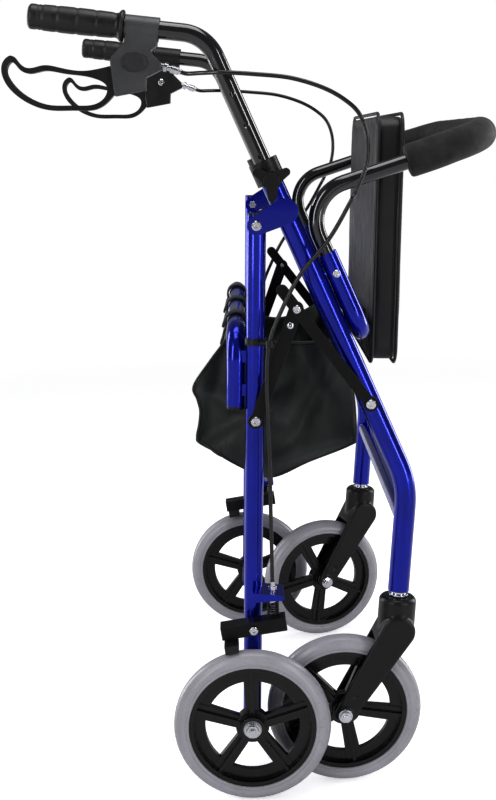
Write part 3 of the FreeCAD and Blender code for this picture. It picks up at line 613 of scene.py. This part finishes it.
for side_name, side in SIDES.items():
    centre = LEVER_PIVOT + Vector((0, side * (SIDE_Y + CAP_FACE), 0))
    tidy_ride(oval_cap(f"{side_name}_housing_cap", centre, side), f"{side_name}_handle", "housing_plastic")
    dome = [(0.0, 0.0), (0.0, 0.0046), (0.0006, 0.0046), (0.0016, 0.0039), (0.0023, 0.0024), (0.0026, 0.0)]
    base = LINK_RIVET + Vector((0, side * LINK_FACE, 0))
    rivet = lathe(f"{side_name}_link_rivet", base, (0, side, 0), dome, CHROME, 24)
    tidy_ride(rivet, "rear_links", "steel")
    fork = moulded_copy(f"{side_name}_fork_moulded", f"{side_name}_caster_fork", PLASTIC, FORK_VOXEL, 8)
    tidy_ride(fork, f"{side_name}_caster", "black_plastic", f"{side_name}_caster_fork")


# ---------------------------------------------------------------- tyres
JOINTS = {j["name"]: j for j in frame["record"]["behaviour"]["joints"]}
# Half of the tyre's section as (across, radius): rim seat, side bead, sidewall, shoulder groove, tread.
HALF_TYRE = [(-0.0120, 0.0766), (-0.0134, 0.0770), (-0.0139, 0.0782), (-0.0139, 0.0794), (-0.0129, 0.0800),
             (-0.0138, 0.0808), (-0.0140, 0.0840), (-0.0132, 0.0866), (-0.0117, 0.0890), (-0.0107, 0.0898),
             (-0.0103, 0.0907), (-0.0080, 0.0926), (-0.0050, 0.0941), (-0.0020, 0.0949)]

for side_name in SIDES:
    for wheel, joint, body in (("rear_tyre", "rear_wheel_spin", "rear_wheel"),
                               ("caster_tyre", "caster_spin", "caster_wheel")):
        spin = JOINTS[f"{side_name}_{joint}"]
        section = HALF_TYRE + [(-along, r) for along, r in reversed(HALF_TYRE)]
        band = lathe(f"{side_name}_{wheel}_moulded", spin["pos_m"], spin["axis"], section, TYRE, 96)
        tidy_ride(band, f"{side_name}_{body}", "tyre_grey", f"{side_name}_{wheel}")


# ---------------------------------------------------------------- backrest foam
SOCKET_Y = 0.244
BACKREST_LOW = LAYOUT + Vector((0.0325, 0, 0.7214))
BACKREST_FRONT = LAYOUT + Vector((0.252, 0, 0.7875))
FOAM_START = 0.126          # from the lower bend of the tube to the end of the foam
FOAM_R = 0.0192
CAP_LENGTH = 0.005          # rounded stretch at each end of the foam
BACKREST_BEND = 0.095


def build_foam():
    """Foam sleeve on the backrest tube, with rounded ends and a slightly lumpy skin."""
    way = (BACKREST_FRONT - BACKREST_LOW).normalized()
    start = BACKREST_LOW + way * FOAM_START
    corners = [Vector((p.x, y, p.z)) for p, y in ((start, -SOCKET_Y), (BACKREST_FRONT, -SOCKET_Y),
                                                  (BACKREST_FRONT, SOCKET_Y), (start, SOCKET_Y))]
    path = bent_path(corners, [BACKREST_BEND, BACKREST_BEND], 0.006)
    lengths = [0.0]
    for a, b in zip(path, path[1:]):
        lengths.append(lengths[-1] + (b - a).length)
    total = lengths[-1]
    frames = frames_along(path)
    around = 40
    verts, faces = [], []
    cap = [(0.0, 0.0093), (0.0, 0.0150), (0.0006, 0.0172), (0.0022, 0.0187), (CAP_LENGTH, FOAM_R)]
    steps = 150
    rings = list(cap)
    rings += [(CAP_LENGTH + (total - 2 * CAP_LENGTH) * k / steps, FOAM_R) for k in range(1, steps)]
    rings += [(total - along, r) for along, r in reversed(cap)]

    def place(along):
        i = min(range(len(lengths) - 1), key=lambda n: abs((lengths[n] + lengths[n + 1]) / 2 - along))
        share = (along - lengths[i]) / (lengths[i + 1] - lengths[i])
        u = frames[i][1].lerp(frames[i + 1][1], share).normalized()
        t = frames[i][0].lerp(frames[i + 1][0], share).normalized()
        return path[i].lerp(path[i + 1], share), u, t.cross(u)

    for along, r in rings:
        p, u, v = place(along)
        for k in range(around):
            angle = 2 * math.pi * k / around
            out = u * math.cos(angle) + v * math.sin(angle)
            lump = 0.0005 * noise.noise((p + out * 0.02) * 38) if r > 0.016 else 0.0
            verts.append(p + out * (r + lump))
    for i in range(len(rings) - 1):
        for k in range(around):
            n = (k + 1) % around
            faces.append((i * around + k, i * around + n, (i + 1) * around + n, (i + 1) * around + k))
    last = (len(rings) - 1) * around
    faces.append(tuple(range(around))[::-1])
    faces.append(tuple(last + k for k in range(around)))
    foam = mesh_object("backrest_foam_sleeve", verts, faces, FOAM)
    tidy_ride(foam, "backrest", "foam", "backrest_foam")


build_foam()


# ---------------------------------------------------------------- seat
SEAT_FOOT = LAYOUT + Vector((0.116, 0, 0.512))
SEAT_LEAN = math.radians(2.05)
SEAT_LENGTH = 0.302
SEAT_HALF = 0.175
BOARD_THICK = 0.007
PAD_THICK = 0.028


def seat_point(along, out, across):
    """Point in the seat's own frame: along from the hinge edge, out from the underside, across."""
    c, s = math.cos(SEAT_LEAN), math.sin(SEAT_LEAN)
    return SEAT_FOOT + Vector((along * s + out * c, across, along * c - out * s))


def rounded_rect(half_a, half_b, radius, per_corner):
    """Closed outline round the origin, as (a, b) pairs."""
    outline = []
    for quarter, (sa, sb) in enumerate(((1, 1), (-1, 1), (-1, -1), (1, -1))):
        for k in range(per_corner):
            angle = math.pi / 2 * (quarter + k / (per_corner - 1))
            outline.append((sa * (half_a - radius) + radius * math.cos(angle),
                            sb * (half_b - radius) + radius * math.sin(angle)))
    return outline


def slab(name, out0, out1, shrink, corner, material):
    """Rounded slab in the seat's frame, as a shell of quads with one flat face each side."""
    outline = rounded_rect(SEAT_LENGTH / 2 - shrink, SEAT_HALF - shrink, corner, 9)
    verts, faces, uvs = [], [], []
    count = len(outline)
    for out in (out0, out1):
        for a, b in outline:
            verts.append(seat_point(SEAT_LENGTH / 2 + a, out, b))
            uvs.append((a, b))
    for k in range(count):
        n = (k + 1) % count
        faces.append((k, n, count + n, count + k))
    faces.append(tuple(range(count))[::-1])
    faces.append(tuple(count + k for k in range(count)))
    return mesh_object(name, verts, faces, material, uvs)


def inflate(piece, voxel, pressure, cap, frames_count=20):
    """Cloth pressure swells a closed slab; no point moves further than cap."""
    remesh = piece.modifiers.new("remesh", "REMESH")
    remesh.mode = "VOXEL"
    remesh.voxel_size = voxel
    apply_modifiers(piece)
    before = [v.co.copy() for v in piece.data.vertices]
    cloth = piece.modifiers.new("cloth", "CLOTH")
    cloth.settings.use_pressure = True
    cloth.settings.uniform_pressure_force = pressure
    cloth.settings.effector_weights.gravity = 0.0
    cloth.settings.quality = 6
    cloth.point_cache.frame_start = 1
    cloth.point_cache.frame_end = frames_count
    for f in range(1, frames_count + 1):
        bpy.context.scene.frame_set(f)
    apply_modifiers(piece)
    for v, start in zip(piece.data.vertices, before):
        move = v.co - start
        if move.length > cap:
            v.co = start + move.normalized() * cap
    bpy.context.scene.frame_set(1)


def build_seat():
    """Padded seat: swollen cushion, thin back panel, and piping round both edges."""
    pad = slab("seat_cushion", 0.0012, BOARD_THICK + PAD_THICK - 0.0022, 0.0012, 0.023, SEAT_VINYL)
    inflate(pad, 0.005, 4.0, 0.0035)
    swell = pad.modifiers.new("smooth", "SUBSURF")
    swell.levels = swell.render_levels = 1
    apply_modifiers(pad)
    pad.data.polygons.foreach_set("use_smooth", [True] * len(pad.data.polygons))
    tidy_ride(pad, "seat", "seat_vinyl", "seat_pad")

    # back panel in the lighter underside vinyl: painted sheen
    back = slab("seat_back_panel", -0.0002, 0.0055, 0.0035, 0.02, SHEEN_LIT_BACK_VINYL)
    bevel = back.modifiers.new("bevel", "BEVEL")
    bevel.width = 0.0025
    bevel.segments = 3
    bevel.angle_limit = math.radians(50)
    apply_modifiers(back)
    tidy_ride(back, "seat", "seat_vinyl", "seat_board")

    for label, out, grow in (("front", BOARD_THICK + PAD_THICK - 0.0038, 0.0002), ("rear", 0.0026, 0.0002)):
        outline = rounded_rect(SEAT_LENGTH / 2 + grow, SEAT_HALF + grow, 0.024, 9)
        loop = [seat_point(SEAT_LENGTH / 2 + a, out, b) for a, b in outline]
        cord = []
        for k, p in enumerate(loop):
            nxt = loop[(k + 1) % len(loop)]
            parts = max(1, int((nxt - p).length / 0.008))
            cord += [p.lerp(nxt, m / parts) for m in range(parts)]
        cord = [p for k, p in enumerate(cord) if (p - cord[k - 1]).length > 1e-5]
        piping = sweep(f"seat_piping_{label}", cord, 0.0021, SEAT_VINYL, 10, closed=True)
        tidy_ride(piping, "seat", "seat_vinyl")


build_seat()


# ---------------------------------------------------------------- bag
BAG_HALF = 0.205
SEAM_Z = 0.430
# Side outline of the bag in millimetres, from the rear hem down, along the bottom and up to the front hem.
BAG_SIDE = [(-60, 552), (-82, 524), (-101, 496), (-97, 480), (-94, 465), (-96, 448), (-99, 433), (-94, 424),
            (-52, 401), (-12, 380), (38, 399), (88, 418), (95, 428), (94, 470), (89, 510), (84, 548)]
# Folds of the end panels: start (x, z), end (x, z) and height, outwards when positive.
BAG_FOLDS = [((-0.060, 0.548), (-0.085, 0.440), -0.010), ((-0.099, 0.496), (0.010, 0.452), 0.012),
             ((0.082, 0.545), (0.020, 0.425), -0.013), ((0.094, 0.432), (-0.012, 0.402), 0.009),
             ((-0.094, 0.428), (0.020, 0.505), -0.011), ((0.030, 0.548), (0.060, 0.470), 0.010)]
FOLD_WIDTH = 0.011
BAG_SKIN = 0.0012
SLACK = {-1: 0.003, 1: 0.030}      # how far the hem of each end panel hangs below a straight line


def fold_push(x, z):
    """How far the folds push an end panel out at this place; each fold is a soft ridge along a line."""
    push = 0.0
    here = Vector((x, z))
    for start, end, height in BAG_FOLDS:
        a, b = Vector(start), Vector(end)
        share = max(0.0, min(1.0, (here - a).dot(b - a) / (b - a).length_squared))
        away = (here - a.lerp(b, share)).length
        push += height * math.exp(-(away / FOLD_WIDTH) ** 2) * math.sin(math.pi * (0.15 + 0.7 * share))
    return push


def stitches(name, line, material, length=0.0034, gap=0.0026, radius=0.0005):
    """Row of short threads along a line."""
    verts, faces = [], []
    around = 5
    for a, b in zip(line, line[1:]):
        way = (b - a).normalized()
        u = way.orthogonal().normalized()
        v = way.cross(u)
        run = 0.0
        while run + length < (b - a).length:
            base = len(verts)
            for along in (run, run + length):
                for k in range(around):
                    angle = 2 * math.pi * k / around
                    verts.append(a + way * along + (u * math.cos(angle) + v * math.sin(angle)) * radius)
            for k in range(around):
                n = (k + 1) % around
                faces.append((base + k, base + n, base + around + n, base + around + k))
            faces.append(tuple(base + k for k in range(around))[::-1])
            faces.append(tuple(base + around + k for k in range(around)))
            run += length + gap
    return mesh_object(name, verts, faces, material)


def build_bag():
    """Storage bag between the crossbars: one sheet for rear, bottom and front, and two end panels."""
    path = smooth_path([(x / 1000, 0, z / 1000) for x, z in BAG_SIDE], 6)
    across = 40
    verts, faces, uvs = [], [], []
    run = 0.0
    for i, p in enumerate(path):
        run += (p - path[i - 1]).length if i else 0
        share = i / (len(path) - 1)
        loose = math.sin(math.pi * share)
        for k in range(across + 1):
            side = 2 * k / across - 1
            y = BAG_HALF * side
            belly = 1 - side ** 4
            sag = Vector((0, 0, -0.010 * belly * loose))
            ripple = noise.noise(Vector((p.x * 16, y * 9, p.z * 16))) * 0.0045 * belly * loose
            inward = Vector((-p.x, 0, 0.47 - p.z)).normalized()
            far = max(0.0, min(1.0, (side + 0.9) / 0.9))
            tuck = max(0.0, -0.062 - p.x) * 0.8 * far
            droop = -0.012 * belly * max(0.0, 1 - 12 * share)
            verts.append(Vector((p.x + tuck, y, p.z + droop)) + sag + inward * ripple)
            uvs.append((run, y))
    row = across + 1
    seam_lines, hem_lines = [], []
    for i in range(len(path) - 1):
        for k in range(across):
            a = i * row + k
            faces.append((a, a + 1, a + row + 1, a + row))
    sheet_count = len(path)
    for side in (0, across):
        edge = [i * row + side for i in range(sheet_count)]
        levels = 26
        y = -BAG_HALF if side == 0 else BAG_HALF
        columns = []
        slack = SLACK[-1 if side == 0 else 1]
        pairs = list(zip(edge[:sheet_count // 2], reversed(edge[sheet_count // 2:])))
        for number, (a, b) in enumerate(pairs):
            droop = slack * (1 - number / len(pairs)) ** 2
            column = [a]
            for m in range(1, levels):
                t = m / levels
                p = verts[a].lerp(verts[b], t)
                push = math.sin(math.pi * t) * (0.55 - p.z) * 0.09
                fold = noise.noise(Vector((p.x * 20, y * 3, p.z * 12))) * 0.003 * math.sin(math.pi * t)
                fold += fold_push(p.x, p.z)
                p = p + Vector((0, (push + fold) * (1 if y > 0 else -1), -droop * math.sin(math.pi * t)))
                verts.append(p)
                uvs.append((p.x, p.z))
                column.append(len(verts) - 1)
            column.append(b)
            columns.append(column)
        outwards = Vector((0, 0.0008 if y > 0 else -0.0008, 0))
        lowest = min(columns[:-4], key=lambda c: abs(verts[c[0]].z - SEAM_Z))
        seam_lines.append([Vector(verts[i]) + outwards for i in lowest])
        hem_lines.append([Vector(verts[i]) + outwards for i in columns[0]])
        for c0, c1 in zip(columns, columns[1:]):
            for m in range(levels):
                faces.append((c0[m], c0[m + 1], c1[m + 1], c1[m]))
    sack = mesh_object("storage_bag", verts, faces, NYLON, uvs)
    skin = sack.modifiers.new("thickness", "SOLIDIFY")
    skin.thickness = BAG_SKIN
    skin.offset = -1
    fine = sack.modifiers.new("fine", "SUBSURF")
    fine.levels = fine.render_levels = 1
    apply_modifiers(sack)
    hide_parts("bag")

    seams = []
    for side in (0, across):
        edge = [Vector(verts[i * row + side]) for i in range(len(path))]
        seams.append(sweep("seam", edge, 0.0013, WEBBING, 8))
    for line in seam_lines:
        seams.append(sweep("seam", line, 0.0012, WEBBING, 8))
    front = [Vector(verts[(len(path) - 1) * row + k]) for k in range(row)]
    rear = [Vector(verts[k]) for k in range(row)]
    for edge, out in ((front, Vector((0.0014, 0, 0))), (rear, Vector((-0.0014, 0, 0))),
                      (hem_lines[0], Vector((0, -0.0006, 0))), (hem_lines[1], Vector((0, 0.0006, 0)))):
        seams.append(sweep("seam", edge, 0.0017, WEBBING, 8))
        for drop in (0.004, 0.012):
            line = [p + out - Vector((0, 0, drop)) for p in edge]
            seams.append(stitches("seam", line, THREAD))
    welts = join("bag_seams", seams)
    for soft in (sack, welts):
        soft.data.transform(Matrix.Translation(LAYOUT))
        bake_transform(soft)


build_bag()


def build_straps():
    """Three webbing loops that hang the bag from the rear crossbar."""
    loops = []
    for y in (-0.150, 0.0, 0.150):
        centre = LAYOUT + Vector((-0.0474, y, 0.566))
        verts, faces, uvs = [], [], []
        outline = [(0.0122 * math.cos(a), 0.0122 * math.sin(a))
                   for a in (math.radians(-60 + 265 * k / 24) for k in range(25))]
        outline += [(-0.0138, -0.011), (-0.0158, -0.019), (-0.0185, -0.027)]
        for i, (x, z) in enumerate(outline):
            for w in (-0.0125, 0.0125):
                verts.append(centre + Vector((x, w, z)))
                uvs.append((i * 0.003, w))
        for i in range(len(outline) - 1):
            faces.append((2 * i, 2 * i + 1, 2 * i + 3, 2 * i + 2))
        band = mesh_object("strap", verts, faces, WEBBING, uvs)
        skin = band.modifiers.new("thickness", "SOLIDIFY")
        skin.thickness = 0.0026
        skin.offset = 1
        apply_modifiers(band)
        loops.append(band)
    straps = join("bag_webbing_loops", loops)
    tidy_ride(straps, "rear_frame", "bag_fabric", "bag_straps")


build_straps()
